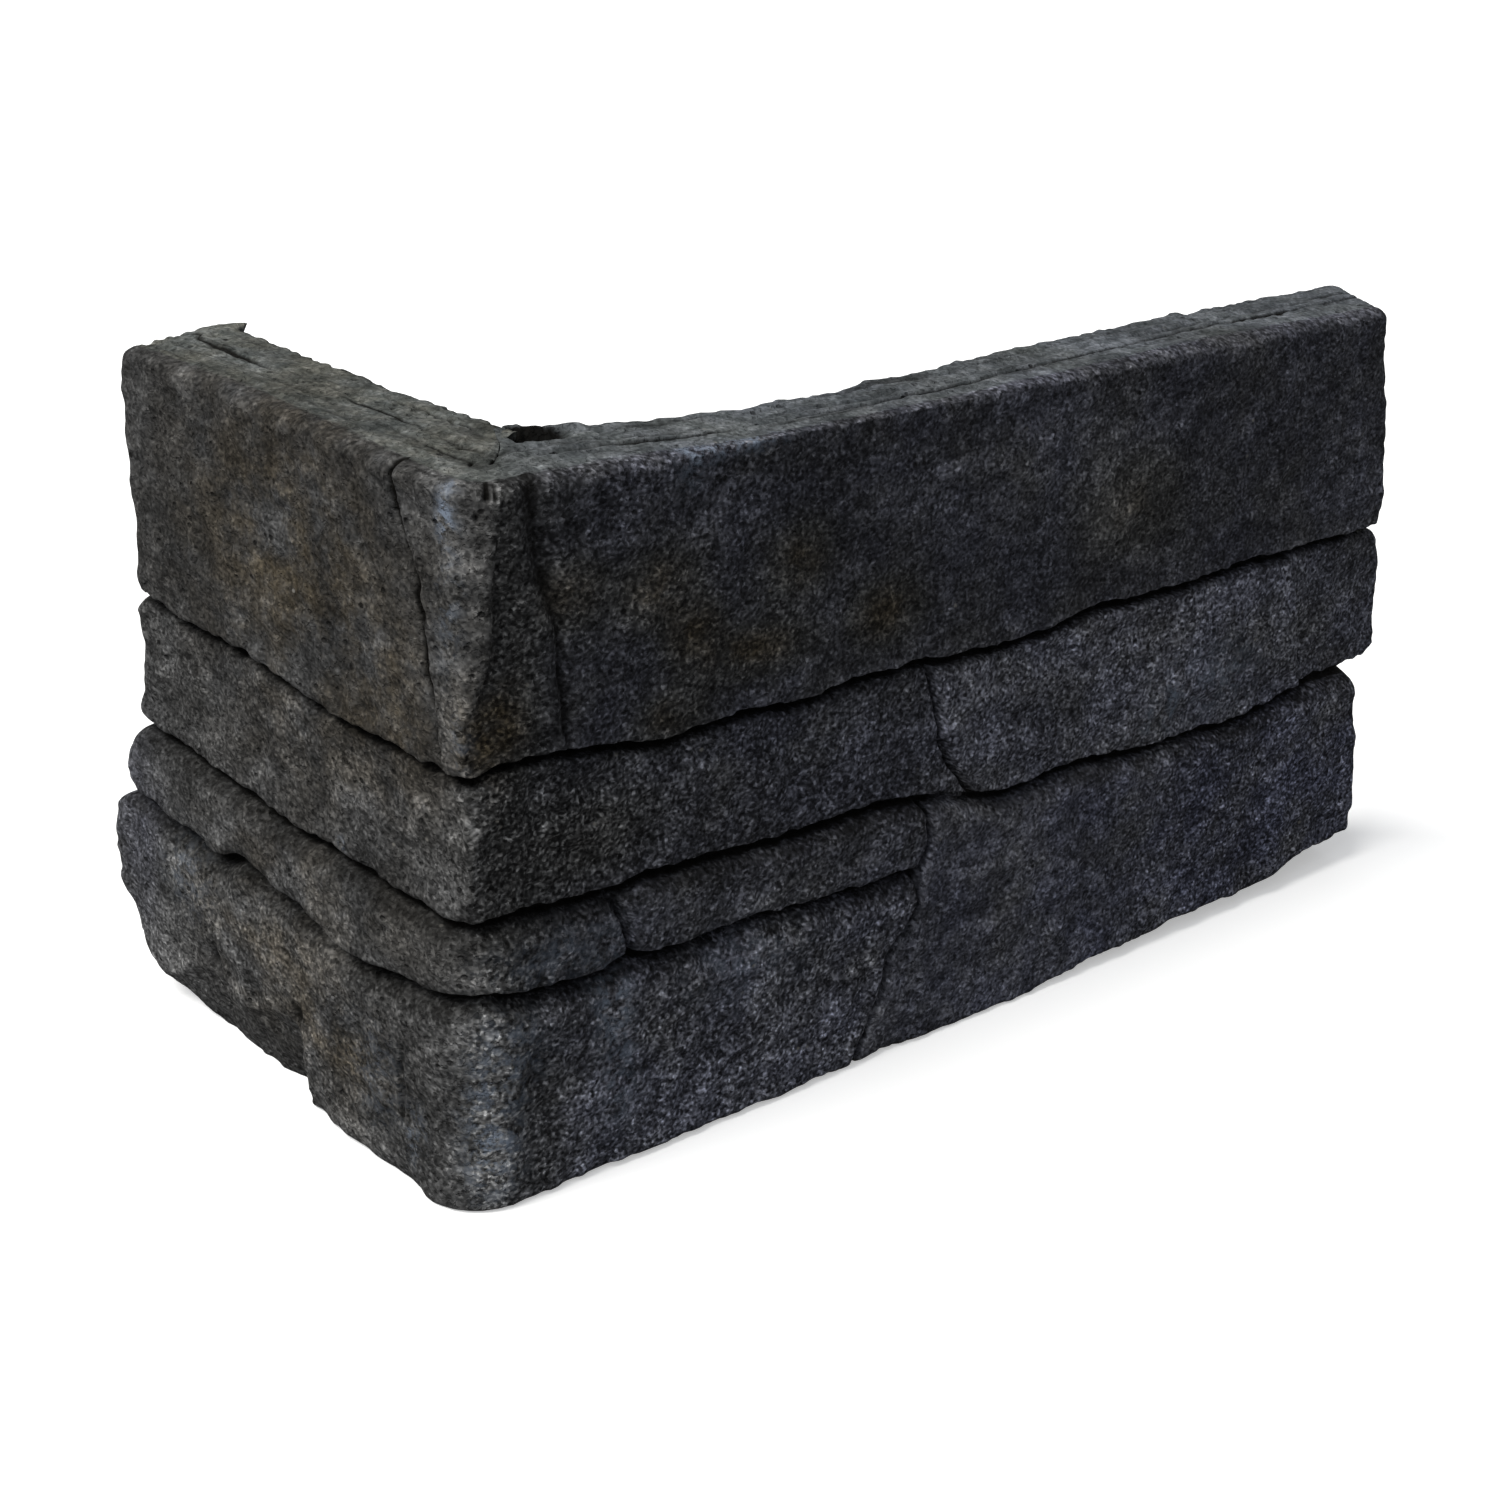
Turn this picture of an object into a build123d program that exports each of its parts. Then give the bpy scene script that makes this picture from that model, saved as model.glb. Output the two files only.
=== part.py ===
from build123d import *
import os

# Stone cladding corner piece, cast from concrete in one pour.
# An L wraps the outer corner of a wall. Its two outer faces look like dry-laid stones in
# four courses, and its two inner faces are flat, to be stuck to the wall.
# Millimetres. The origin is where the wall's own corner edge meets the bed.
# +Z is up the wall, the long leg runs along +X and the short leg along +Y.

# Overall sizes, measured from the outer corner and from the bed
height = 150.0
long_leg = 283.0
short_leg = 138.0
leg_thickness = 24.0

# Joints between the cast stones
joint_width = 2.4
joint_depth = 4.5
half_joint = joint_width / 2

# Rounding
corner_radius = 8.0
stone_edge_radius = 2.2

# How far each course stands proud of the nominal outer faces
top_proud = 1.5
second_proud = 0.5
third_proud = 1.5
bottom_proud = 3.0
big_stone_proud = 2.0

# Where each course ends, measured back from the overall ends of the legs
top_long_end = long_leg - 8.0
big_stone_end = long_leg - 5.0
core_long_end = long_leg - 11.0
top_short_end = short_leg - 13.0
second_short_end = short_leg - 14.0
third_short_end = short_leg - 7.0
core_short_end = short_leg - 18.0

# Every point below is its distance from the outer corner and its height.
# Upright joints on the long face
second_upright_top = (120.0, 90.5)
second_upright_middle = (125.5, 67.0)
second_upright_bottom = (136.0, 55.5)
third_upright_top = (37.0, 61.0)
third_upright_bottom = (37.0, 45.5)
slanted_top = (121.0, 58.5)
slanted_knee = (120.0, 42.0)
slanted_middle = (111.0, 25.0)
slanted_bottom = (102.0, 0.0)
# This one is measured back from the long end
end_upright_top = (long_leg - 39.0, 92.5)
end_upright_bottom = (long_leg - 31.0, 54.0)

# Course joints, counted from the top, level round the corner so that the two faces meet
first_level = 93.0
second_level = 61.0
third_level = 45.5
first_near = [(leg_thickness, first_level), (45, 90), (83, 90.5), second_upright_top]
first_far = [second_upright_top, (141, 89), (173, 92), end_upright_top]
first_end = [end_upright_top, (long_leg, 93)]
first_short = [(leg_thickness, first_level), (42, 91), (60, 92), (80, 94), (short_leg, 95)]
second_corner = [(leg_thickness, second_level), third_upright_top]
second_near = [third_upright_top, (84, 60), slanted_top]
second_over = [slanted_top, second_upright_bottom]
second_far = [second_upright_bottom, (151, 53), (long_leg - 78, 52), end_upright_bottom]
second_end = [end_upright_bottom, (long_leg, 55)]
second_short = [(leg_thickness, second_level), (62, 60), (101, 63), (short_leg, 64)]
third_corner = [(leg_thickness, third_level), third_upright_bottom]
third_near = [third_upright_bottom, (79, 44), slanted_knee]
third_short = [(leg_thickness, third_level), (43, 41.5), (65, 46), (102, 45), (short_leg, 47)]


def bank(*lines, rise, start=0.0, end=0.0):
    """One bank of a course joint: its pieces end to end, each point once, raised by rise.

    start and end shift the first and last point along the wall, to clear an upright joint.
    """
    points = [lines[0][0]] + [point for line in lines for point in line[1:]]
    points = [(along, up + rise) for along, up in points]
    points[0] = (points[0][0] + start, points[0][1])
    points[-1] = (points[-1][0] + end, points[-1][1])
    return points


def beside(point, shift):
    """A point of an upright joint, moved to one bank of it."""
    return (point[0] + shift, point[1])


def front_rim(stone):
    """Edges round the outer face of a stone that shows on the long face only."""
    return stone.faces().filter_by(Axis.Y).sort_by(Axis.Y)[0].edges()


def wrap_rim(stone):
    """Edges round the outer faces of a stone that wraps the corner, once that is rounded."""
    corner = stone.faces().filter_by(GeomType.CYLINDER).sort_by(Axis.X)[0]
    long_front = stone.faces().filter_by(Axis.Y).sort_by(Axis.Y)[0]
    short_front = stone.faces().filter_by(Axis.X).sort_by(Axis.X)[0]
    uprights = corner.edges().filter_by(Axis.Z)
    rim = ShapeList()
    for edge in corner.edges() + long_front.edges() + short_front.edges():
        if all((edge.center() - upright.center()).length > 0.01 for upright in uprights):
            rim.append(edge)
    return rim


def corner_edge(stone):
    """The upright outer edge of a stone that wraps the corner."""
    return stone.edges().filter_by(Axis.Z).group_by(Axis.X)[0].group_by(Axis.Y)[0]


# Sketch planes on the two wall faces, with the outer corner at x = 0 and the bed at y = 0.
# The long leg's plane looks outward, and the short leg's looks into the wall.
long_back = Plane(origin=(-leg_thickness, 0, 0), x_dir=(1, 0, 0), z_dir=(0, -1, 0))
short_back = Plane(origin=(0, -leg_thickness, 0), x_dir=(0, 1, 0), z_dir=(1, 0, 0))

# The core, as deep as the bottoms of the joints
core_face = joint_depth - leg_thickness
with BuildPart() as core:
    with BuildSketch():
        with BuildLine():
            Polyline(
                (core_face, core_face),
                (core_long_end - leg_thickness, core_face),
                (core_long_end - leg_thickness, 0),
                (0, 0),
                (0, core_short_end - leg_thickness),
                (core_face, core_short_end - leg_thickness),
                close=True,
            )
        make_face()
    extrude(amount=height)

# The top course is one stone that wraps the corner
with BuildPart() as top_stone:
    corner_low = (-top_proud, first_level + half_joint)
    corner_high = (-top_proud, height)
    with BuildSketch(long_back):
        with BuildLine():
            under = bank(first_near, first_far, first_end, rise=half_joint)
            Polyline(corner_low, *under, (long_leg, height), corner_high, close=True)
        make_face()
        Rectangle(2 * top_long_end, 2 * height, mode=Mode.INTERSECT)
    extrude(amount=leg_thickness + top_proud)
    with BuildSketch(short_back):
        with BuildLine():
            under = bank(first_short, rise=half_joint)
            Polyline(corner_low, *under, (short_leg, height), corner_high, close=True)
        make_face()
        Rectangle(2 * top_short_end, 2 * height, mode=Mode.INTERSECT)
    extrude(amount=-leg_thickness - top_proud)
    fillet(corner_edge(top_stone), radius=corner_radius)
    fillet(wrap_rim(top_stone), radius=stone_edge_radius)

# The second course begins with a stone that wraps the corner
with BuildPart() as second_corner_stone:
    corner_low = (-second_proud, second_level + half_joint)
    corner_high = (-second_proud, first_level - half_joint)
    with BuildSketch(long_back):
        with BuildLine():
            under = bank(second_corner, second_near, second_over, rise=half_joint, end=-half_joint)
            middle = beside(second_upright_middle, -half_joint)
            over = bank(first_near, rise=-half_joint, end=-half_joint)
            Polyline(corner_low, *under, middle, *reversed(over), corner_high, close=True)
        make_face()
    extrude(amount=leg_thickness + second_proud)
    with BuildSketch(short_back):
        with BuildLine():
            under = bank(second_short, rise=half_joint)
            over = bank(first_short, rise=-half_joint)
            Polyline(corner_low, *under, *reversed(over), corner_high, close=True)
        make_face()
        Rectangle(2 * second_short_end, 2 * height, mode=Mode.INTERSECT)
    extrude(amount=-leg_thickness - second_proud)
    fillet(corner_edge(second_corner_stone), radius=corner_radius)
    fillet(wrap_rim(second_corner_stone), radius=stone_edge_radius)

# Two more stones finish the second course on the long face
with BuildPart() as second_middle_stone:
    with BuildSketch(long_back):
        with BuildLine():
            under = bank(second_far, rise=half_joint, start=half_joint, end=-half_joint)
            over = bank(first_far, rise=-half_joint, start=half_joint, end=-half_joint)
            middle = beside(second_upright_middle, half_joint)
            Polyline(*under, *reversed(over), middle, close=True)
        make_face()
    extrude(amount=leg_thickness + second_proud)
    fillet(front_rim(second_middle_stone), radius=stone_edge_radius)

with BuildPart() as second_end_stone:
    with BuildSketch(long_back):
        with BuildLine():
            under = bank(second_end, rise=half_joint, start=half_joint)
            over = bank(first_end, rise=-half_joint, start=half_joint)
            Polyline(*under, *reversed(over), close=True)
        make_face()
    extrude(amount=leg_thickness + second_proud)
    fillet(front_rim(second_end_stone), radius=stone_edge_radius)

# The third course is thin: a stone that wraps the corner, and one beside it
with BuildPart() as third_corner_stone:
    corner_low = (-third_proud, third_level + half_joint)
    corner_high = (-third_proud, second_level - half_joint)
    with BuildSketch(long_back):
        with BuildLine():
            under = bank(third_corner, rise=half_joint, end=-half_joint)
            over = bank(second_corner, rise=-half_joint, end=-half_joint)
            Polyline(corner_low, *under, *reversed(over), corner_high, close=True)
        make_face()
    extrude(amount=leg_thickness + third_proud)
    with BuildSketch(short_back):
        with BuildLine():
            under = bank(third_short, rise=half_joint)
            over = bank(second_short, rise=-half_joint)
            Polyline(corner_low, *under, *reversed(over), corner_high, close=True)
        make_face()
        Rectangle(2 * third_short_end, 2 * height, mode=Mode.INTERSECT)
    extrude(amount=-leg_thickness - third_proud)
    fillet(corner_edge(third_corner_stone), radius=corner_radius)
    fillet(wrap_rim(third_corner_stone), radius=stone_edge_radius)

with BuildPart() as third_long_stone:
    with BuildSketch(long_back):
        with BuildLine():
            under = bank(third_near, rise=half_joint, start=half_joint, end=-half_joint)
            over = bank(second_near, rise=-half_joint, start=half_joint, end=-half_joint)
            Polyline(*under, *reversed(over), close=True)
        make_face()
    extrude(amount=leg_thickness + third_proud)
    fillet(front_rim(third_long_stone), radius=stone_edge_radius)

# The bottom course is a stone that wraps the corner, up to the slanted joint
with BuildPart() as bottom_corner_stone:
    corner_low = (-bottom_proud, 0)
    corner_high = (-bottom_proud, third_level - half_joint)
    with BuildSketch(long_back):
        with BuildLine():
            over = bank(third_corner, third_near, rise=-half_joint, end=-half_joint)
            middle = beside(slanted_middle, -half_joint)
            foot = beside(slanted_bottom, -half_joint)
            Polyline(corner_high, *over, middle, foot, corner_low, close=True)
        make_face()
    extrude(amount=leg_thickness + bottom_proud)
    with BuildSketch(short_back):
        with BuildLine():
            over = bank(third_short, rise=-half_joint)
            Polyline(corner_high, *over, (short_leg, 0), corner_low, close=True)
        make_face()
    extrude(amount=-leg_thickness - bottom_proud)
    fillet(corner_edge(bottom_corner_stone), radius=corner_radius)
    fillet(wrap_rim(bottom_corner_stone), radius=stone_edge_radius)

# One big stone fills the third and bottom courses beyond the slanted joint
with BuildPart() as big_stone:
    with BuildSketch(long_back):
        with BuildLine():
            over = bank(second_over, second_far, second_end, rise=-half_joint, start=half_joint)
            knee = beside(slanted_knee, half_joint)
            middle = beside(slanted_middle, half_joint)
            foot = beside(slanted_bottom, half_joint)
            Polyline(*over, (long_leg, 0), foot, middle, knee, close=True)
        make_face()
        Rectangle(2 * big_stone_end, 2 * height, mode=Mode.INTERSECT)
    extrude(amount=leg_thickness + big_stone_proud)
    fillet(front_rim(big_stone), radius=stone_edge_radius)

# All of it is one casting
with BuildPart() as cladding_corner:
    add(core.part)
    add(top_stone.part)
    add(second_corner_stone.part)
    add(second_middle_stone.part)
    add(second_end_stone.part)
    add(third_corner_stone.part)
    add(third_long_stone.part)
    add(bottom_corner_stone.part)
    add(big_stone.part)

os.makedirs("parts", exist_ok=True)
cladding_corner.part.label = "cladding_corner"
export_step(cladding_corner.part, "parts/cladding_corner.step")
print("solids", len(cladding_corner.part.solids()), "volume", round(cladding_corner.part.volume))
print("box", cladding_corner.part.bounding_box())
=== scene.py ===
# %% [markdown]
# # A stone cladding corner piece
# The real thing is one casting: an L of charcoal concrete, poured into a rubber mould that was
# taken from hand-split stones. It is laid on the outer corner of a wall, so that the wall seems
# to be built of thin dry-laid stones. This file builds what the eye sees of it, inside the size
# that the CAD model fixes.

# %% Load the frame
import math

import bmesh
import bpy
import numpy as np
from mathutils import Matrix


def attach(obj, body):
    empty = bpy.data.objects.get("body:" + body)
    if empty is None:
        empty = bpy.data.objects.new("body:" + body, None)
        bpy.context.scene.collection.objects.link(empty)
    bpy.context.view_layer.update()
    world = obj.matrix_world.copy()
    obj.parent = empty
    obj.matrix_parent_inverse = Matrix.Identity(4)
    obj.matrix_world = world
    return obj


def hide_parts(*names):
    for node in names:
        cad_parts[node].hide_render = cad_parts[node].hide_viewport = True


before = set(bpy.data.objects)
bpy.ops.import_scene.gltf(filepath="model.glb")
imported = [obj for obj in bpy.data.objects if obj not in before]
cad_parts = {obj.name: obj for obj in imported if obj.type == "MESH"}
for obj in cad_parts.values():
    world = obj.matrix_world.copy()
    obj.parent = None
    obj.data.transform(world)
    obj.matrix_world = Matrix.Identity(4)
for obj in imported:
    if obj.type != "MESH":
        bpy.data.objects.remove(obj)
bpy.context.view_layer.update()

# %% [markdown]
# ## Where things are
# Everything on the two outer faces is placed by two numbers, as on a strip of paper wrapped round
# the corner. The first is the distance along the wall from the outer corner, in millimetres: more
# than 0 on the long leg and less than 0 on the short one. The second is the height above the bed.
# The CAD frame has its origin on the wall's own edge, one leg thickness in from the outer corner.

# %% Sizes, in millimetres
HEIGHT = 150.0
LONG = 283.0
SHORT = 138.0
THICK = 24.0
PROUD = 2.95          # the furthest that any stone stands out of the nominal face
JOINT_DEPTH = 4.6
JOINT_HALF = 1.15     # half the width of a course joint at its mouth
END_ROUND = 2.6       # the rounded edge round each end face
CLEAR = 0.02          # kept free inside the CAD box at the bed and the top
END_CLEAR = 0.05      # and at the ends of the legs
print("legs", LONG, SHORT, "height", HEIGHT, "thickness", THICK)

# %% [markdown]
# ## Lines through points
# Joints, edges and cracks wander by a millimetre or two, which is what makes the stones look
# split by hand. Each is written as a few points. A smooth curve goes through them by Hermite's
# rule, where a span takes the slope at both its ends, so no corner shows at a point.

# %% A smooth line through points
def line(points):
    """Points as two arrays, the first of them rising, and the slope at each point."""
    x, y = np.array(points, float).T
    return x, y, np.gradient(y, x)


def at(curve, where):
    """The height of a smooth line. In a span with t from 0 to 1 it is the two end heights, weighted
    by 1 - s and s with s = 3t^2 - 2t^3, plus the end slopes weighted by t(1-t)^2 and -t^2(1-t)."""
    x, y, slope = curve
    where = np.clip(where, x[0], x[-1])
    i = np.clip(np.searchsorted(x, where) - 1, 0, len(x) - 2)
    span = x[i + 1] - x[i]
    t = (where - x[i]) / span
    s = t * t * (3 - 2 * t)
    swing = (1 - t) * slope[i] - t * slope[i + 1]
    return (1 - s) * y[i] + s * y[i + 1] + span * t * (1 - t) * swing


def step(value, start, end):
    """0 before start and 1 after end, with a smooth S between them."""
    t = np.clip((value - start) / (end - start), 0, 1)
    return t * t * (3 - 2 * t)


def roll(distance, radius):
    """How far a rounded edge has dropped at a distance from it: the arc r - sqrt(r^2 - (r - d)^2)."""
    inside = radius - np.clip(distance, 0, radius)
    return radius - np.sqrt(np.maximum(radius * radius - inside * inside, 0))


def bump(value, centre, width):
    """A soft hill of height 1: the bell curve of the distance from centre over width."""
    return np.exp(-(((value - centre) / width) ** 2))


print("edge of radius 3 drops", roll(np.array([0.0, 1.0, 3.0]), 3.0).round(2), "mm")

# %% [markdown]
# ## The joints
# The three course joints give a height for each distance along the wall. The upright ones give a
# distance for each height. The third course is only a short strip near the corner, and past the
# slanted joint one tall stone takes its place.

# %% Joint lines
FIRST = line([
    (-150, 95.5), (-121, 95.2), (-99, 93.2), (-78, 93.8), (-59, 92), (-41, 91), (-23, 91.8), (-13, 91.8),
    (-9.6, 92.6), (-8, 91.6), (-6.5, 91.2), (-4.5, 91.5), (-1, 92.4), (2.5, 93), (4.5, 93.6), (7, 94.1),
    (14, 93.8), (23, 93.6), (28, 92.9), (34, 91.8), (40, 90.7), (46, 90.3), (55, 90.4), (68, 91.2),
    (82, 90.1), (96, 91), (118, 91.2), (130, 90.2), (141, 89.2), (157, 90.3), (173, 92.2), (190, 91.8),
    (208, 92.4), (228, 93.2), (246, 92.8), (300, 93.5)])
SECOND = line([
    (-150, 64.5), (-123, 64), (-110, 63.8), (-101, 62.8), (-80, 61.2), (-60, 60.2), (-50, 61.2), (-41, 61),
    (-24, 60.3), (-5, 61), (7, 62), (31, 61), (45, 61.6), (57, 61), (84, 60.2), (100, 60.4), (113, 59.8),
    (122, 58.5), (136, 55), (151, 53.3), (165, 54.4), (178, 54), (196, 52.2), (214, 52), (233, 51.8),
    (243, 53.8), (252, 55), (300, 55.5)])
THIRD = line([
    (-150, 47.5), (-129, 47), (-112, 44.6), (-102, 45), (-95, 43.6), (-81, 46.6), (-70, 44.6), (-61, 45),
    (-42, 41.5), (-24, 43), (-7, 45), (1, 46.3), (7, 46), (19, 45), (31, 44.2), (36, 45.8), (45, 44.4),
    (57, 44), (68, 44.6), (79, 44), (99, 43), (119, 42.3), (300, 42)])
THIRD_UPRIGHT = line([(0, 37.5), (43, 36.8), (48, 38), (52, 37.5), (57, 35.5), (63, 35), (150, 37.5)])
SLANTED = line([
    (0, 101.5), (3, 102), (8, 105.5), (16, 109), (25, 111.5), (33, 118.5), (39, 119.5), (43, 119.5),
    (48, 122), (54, 121.5), (62, 119), (76, 112), (90, 109), (150, 110)])
SECOND_UPRIGHT = line([
    (0, 133), (40, 136), (54, 136.5), (59, 133), (67, 126.5), (78, 123), (84, 121), (90, 119.4), (110, 123),
    (150, 130)])
END_UPRIGHT = line([
    (0, 250), (40, 252), (54, 252), (69, 249), (80, 246), (89, 242.5), (110, 243), (150, 245)])
print("course joints at the corner:", at(THIRD, 0.0), at(SECOND, 0.0), at(FIRST, 0.0))

# %% [markdown]
# ## The outline
# The two ends aren't flat. Each course ends where its own stone ends, with a notch at each joint,
# so an end is a distance for each height. The lower edge is broken off towards the ends, and the
# upper edge is worn round in places and crisp in others.

# %% Ends, foot and top edge
SHORT_END = line([
    (0, 129), (4, 128.5), (10, 128.5), (16, 130.5), (20, 134.5), (26, 137.8), (36, 137.9), (42, 136.8),
    (45.2, 132), (47, 128), (49, 131.2), (53, 132.6), (58, 130.5), (62, 127), (64, 123.5), (66, 126.6),
    (72, 126.8), (82, 126), (91, 126.6), (93.6, 124), (95.2, 121.4), (97, 123.2), (103, 124.4),
    (111, 124.2), (121, 125.6), (133, 127.6), (141, 129), (150, 127.4)])
LONG_END = line([
    (0, 277.5), (14, 280), (32, 278.8), (42, 276.2), (52, 274.6), (54.5, 273.8), (56, 279), (59, 283.6),
    (68, 284.4), (78, 283.8), (87, 281.4), (91, 278.4), (93, 274.2), (95, 275.6), (100, 276.4),
    (114, 275.2), (130, 272.6), (140, 271), (150, 269.6)])
FOOT = line([
    (-150, 20), (-138, 19.5), (-133, 19), (-131, 17.5), (-129, 14), (-126, 11), (-121, 8.6), (-114, 6),
    (-104, 2.8), (-96, 1.2), (-83, 0.6), (-70, 0.6), (-62, 0.6), (-57, 0.8), (-51, 1), (-30, 1.2),
    (-12, 0.8), (10, 1.2), (60, 1.6), (110, 1.6), (160, 1.8), (172, 3), (185, 3.8), (198, 3.8), (213, 5.4),
    (226, 4.9), (240, 4.9), (252, 7), (260, 9), (272, 10), (300, 10.6)])
TOP_LINE = line([
    (-150, 149.4), (-123, 149.6), (-97, 149.9), (-60, 149.9), (-40, 149.6), (-20, 149.3), (0, 149.3),
    (9, 149.6), (29, 149.3), (50, 149), (75, 148.8), (102, 148.8), (132, 149.1), (167, 149.6), (204, 149.9),
    (300, 149.9)])
# The radius of the rounded upper edge along the wall, and of the outer corner up the wall
TOP_ROUND = line([
    (-150, 2.4), (-123, 2.6), (-97, 3.6), (-60, 3.6), (-40, 3), (-20, 2.2), (0, 2.4), (20, 2.8), (46, 2.4),
    (56, 1), (90, 0.8), (130, 1), (165, 2), (204, 3.2), (255, 2.6), (300, 1.8)])
BEND = line([
    (0, 11), (38, 11), (47, 9), (60, 9), (64, 5), (91, 3.6), (96, 2), (112, 2.2), (122, 3.6), (134, 6.5),
    (150, 9)])
print("end distances at mid height:", at(SHORT_END, 75.0), at(LONG_END, 75.0))

# %% [markdown]
# ## Random but repeatable roughness
# Broken stone and cast sand are rough at every size. The usual way to draw that is noise: random
# numbers at the nodes of a grid, blended smoothly between them. Adding finer and weaker grids on
# top gives the look of split rock. The numbers are seeded, so each run gives the same stone.

# %% Noise
def noise(spot, spacing, seed):
    """Smooth noise from -1 to 1: random values on a cubic grid, spacing mm apart.

    A point takes the eight values round it, weighted by the S curve of its place between them
    along each axis. The grid repeats after 32 nodes.
    """
    nodes = 32
    lattice = np.random.default_rng(seed).uniform(-1, 1, (nodes, nodes, nodes))
    scaled = spot / spacing + 1000.0
    cell = np.floor(scaled).astype(int)
    part = scaled - cell
    part = part * part * (3 - 2 * part)
    x, y, z = np.moveaxis(cell % nodes, -1, 0)
    x2, y2, z2 = (x + 1) % nodes, (y + 1) % nodes, (z + 1) % nodes
    px, py, pz = np.moveaxis(part, -1, 0)
    low = (lattice[x, y, z] * (1 - px) + lattice[x2, y, z] * px) * (1 - py) \
        + (lattice[x, y2, z] * (1 - px) + lattice[x2, y2, z] * px) * py
    high = (lattice[x, y, z2] * (1 - px) + lattice[x2, y, z2] * px) * (1 - py) \
        + (lattice[x, y2, z2] * (1 - px) + lattice[x2, y2, z2] * px) * py
    return low * (1 - pz) + high * pz


def ridged(spot, spacing, seed):
    """Sharp creases between rounded swells: 1 - |noise|, moved so that it averages about 0."""
    return 1 - np.abs(noise(spot, spacing, seed)) * 2


def layered(spot, *layers):
    """Noises on top of each other, each given by its height, its spacing in mm and its seed."""
    return sum(height * noise(spot, spacing, seed) for height, spacing, seed in layers)


sample = noise(np.random.default_rng(1).uniform(0, 300, (2000, 3)), 20.0, 5)
print("noise runs from", sample.min().round(2), "to", sample.max().round(2))

# %% [markdown]
# ## From the strip to space
# The outer face is the strip bent round the corner: straight, a quarter circle, straight. The
# back is the wall's own right angle. A column of the mesh joins a place on the one to a place on
# the other, and near the corner the columns close up like the ribs of a fan.

# %% Outer and inner walls
def outer_wall(along, radius):
    """Place (x, y) on the outer faces and the outward direction there.

    Past the radius a point lies on a leg. Nearer, its angle runs evenly from the short face's
    direction, -x, to the long face's, -y, round a centre one radius in from both faces.
    """
    angle = (np.clip(along / radius, -1, 1) + 1) * math.pi / 4
    out = np.stack([-np.cos(angle), -np.sin(angle)], -1)
    place = radius[..., None] * (1 + out)
    place[..., 0] += np.maximum(along - radius, 0)
    place[..., 1] += np.maximum(-along - radius, 0)
    return place, out


FAN = 40.0     # columns nearer the corner than this close up towards the inner edge


def inner_wall(along, back):
    """Place (x, y) on the back, which stands `back` mm behind the outer face's plane.

    A column outside the fan goes straight through, so it meets the back one thickness nearer the
    corner. One inside it comes out at its distance squared over 100.
    """
    reach = np.where(np.abs(along) < FAN, 0.01 * along ** 2, np.abs(along) - THICK) * np.sign(along)
    on_long = step(reach, -2, 2)
    x = THICK + np.maximum(reach, 0) + (back - THICK) * (1 - on_long)
    y = THICK + np.maximum(-reach, 0) + (back - THICK) * on_long
    return np.stack([x, y], -1)


print("corner of the outer faces:", outer_wall(np.array([0.0]), np.array([8.0]))[0].round(2))

# %% [markdown]
# ## Rows and columns that follow the joints
# A groove drawn on a plain grid comes out as steps wherever it crosses the grid at a slant. So
# the rows are laid along the course joints, packed close beside them, and the columns lean to
# follow the upright ones. A grid point's height depends on its place along the wall and the
# other way round, so the two are worked out in turn a few times, until they agree.

# %% The grid of the outer face
GRAIN = 0.66      # mm between rows and columns on the open faces
BESIDE = np.array([0.0, 0.55, 0.95, 1.14, 1.4, 1.7, 2.1, 2.6, 3.15, 3.75])     # mm from a joint
SPANS = (45, 15, 31, 57)     # mm from the foot to the third joint, and on to the second, first and top edge
STILL = -12.0     # the columns here keep their places, beside the corner
COLUMN_LINES = [(37.5, THIRD_UPRIGHT), (111.0, SLANTED), (131.0, SECOND_UPRIGHT), (245.0, END_UPRIGHT)]


def row_rules():
    """For each row: the level below it (0 foot, 1 third, 2 second, 3 first joint, then 4 top edge),
    its distance above that level, its distance below the next, and its share of the way up."""
    rules = []
    for level, span in enumerate(SPANS):
        low = BESIDE if level > 0 else BESIDE[:1]
        high = BESIDE if level < len(SPANS) - 1 else BESIDE[:1]
        rules += [(level, gap, 0, 0) for gap in low]
        free = max(int((span - low[-1] - high[-1]) / GRAIN), 2)
        rules += [(level, low[-1], high[-1], share) for share in np.linspace(0, 1, free + 1)[1:-1]]
        rules += [(level, 0, gap, 1) for gap in high[::-1]]
    # The row on a joint ends the course below it, so the course above doesn't repeat it
    return np.array([rule for i, rule in enumerate(rules) if i == 0 or any(rule[1:])]).T


def columns():
    """Base places of the columns: even steps, with one column exactly on each upright joint."""
    stops = [-SHORT, 0, *(base for base, _ in COLUMN_LINES), LONG]
    runs = [np.linspace(a, b, int(round((b - a) / GRAIN)) + 1)[:-1]
            for a, b in zip(stops, stops[1:])]
    return np.concatenate([*runs, [LONG]])


level, above, below, share = row_rules()
base = columns()
knots = np.array([-SHORT, STILL, *(stop for stop, _ in COLUMN_LINES), LONG])
# A hat is 1 at its own knot and falls to 0 at the next ones, so it shares a knot's shift out
hats = [np.interp(base, knots, np.eye(len(knots))[k]) for k in range(len(knots))]


def wander(along, seed):
    """Small raggedness of a joint line, the same at every height."""
    spot = np.stack([along, 0 * along, 0 * along], -1)
    return layered(spot, (0.34, 6.0, seed), (0.3, 2.4, seed + 1), (0.12, 1.3, seed + 2))


def levels(along):
    """Heights of the foot, the three course joints and the top edge at each place."""
    return [at(FOOT, along) + 0.5 * wander(along, 40), at(THIRD, along) + wander(along, 43),
            at(SECOND, along) + wander(along, 46), at(FIRST, along) + wander(along, 49),
            at(TOP_LINE, along) + 0.25 * wander(along, 52) - at(TOP_ROUND, along)]


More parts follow.
